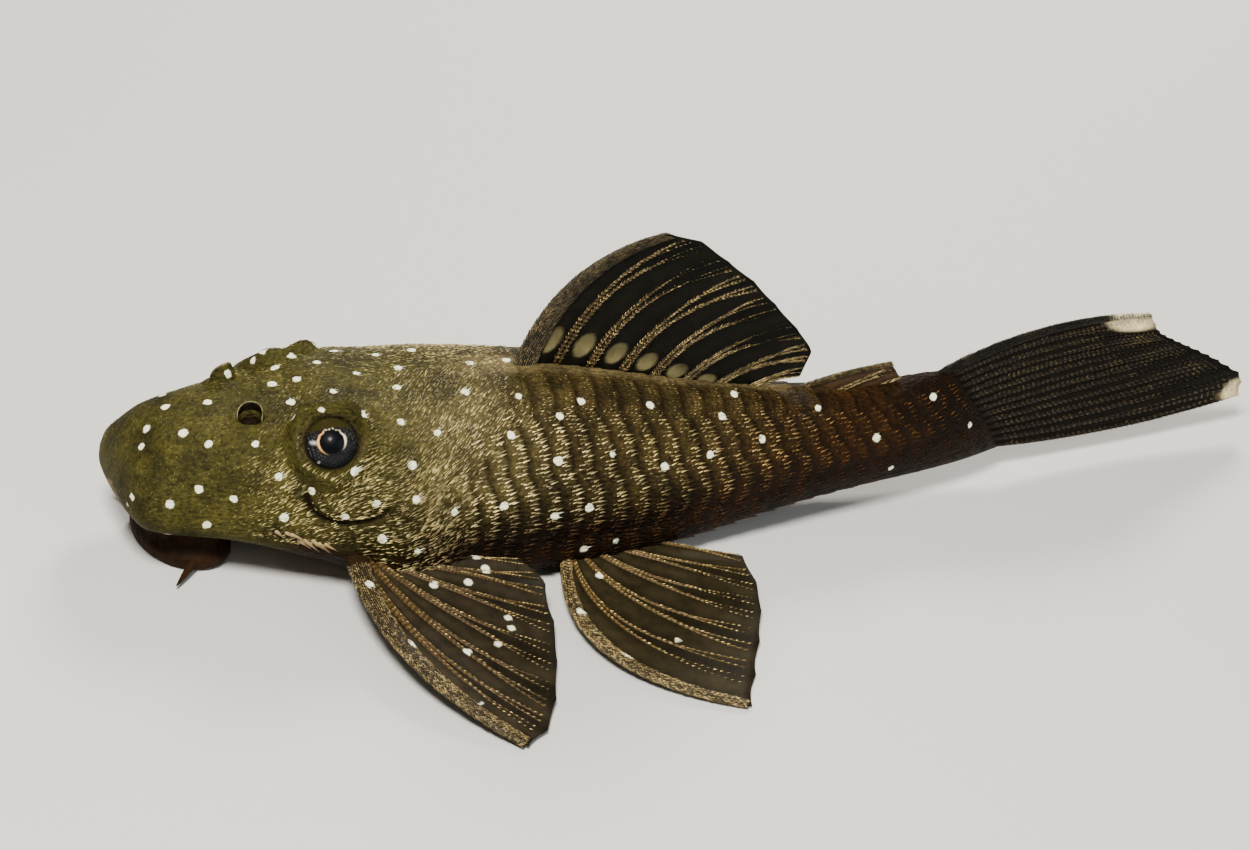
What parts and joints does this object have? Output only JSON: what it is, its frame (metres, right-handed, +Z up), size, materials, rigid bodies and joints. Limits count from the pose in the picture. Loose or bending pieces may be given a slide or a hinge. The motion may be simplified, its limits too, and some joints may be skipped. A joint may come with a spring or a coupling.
{
  "type": "armoured catfish figure",
  "caption": "Still, life-size young bristlenose catfish with sucker mouth, plated flanks and spread fins, resting on lips, belly and fin tips.",
  "frame": {"origin": "middle of the bounding box's underside, on the floor", "axes": "+X from snout to tail, +Y to the fish's right side, +Z up"},
  "size_m": [0.0974, 0.054, 0.025],
  "materials": {
    "olive_skin": "semi-matt skin over bony plates",
    "brown_skin": "semi-matt skin over bony plates",
    "lips": "soft, finely wrinkled",
    "fins": "thin skin over bony rays",
    "eyes": "wet and clear over a dark iris"
  },
  "bodies": {
    "root": {"head": "olive_skin", "mouth": "lips", "trunk": "olive_skin", "tail_stalk": "brown_skin", "eye_left": "eyes", "eye_right": "eyes", "dorsal_fin": "fins", "adipose_fin": "fins", "tail_fin": "fins", "anal_fin": "fins", "pectoral_fin_left": "fins", "pectoral_fin_right": "fins", "pelvic_fin_left": "fins", "pelvic_fin_right": "fins"}
  },
  "joints": []
}
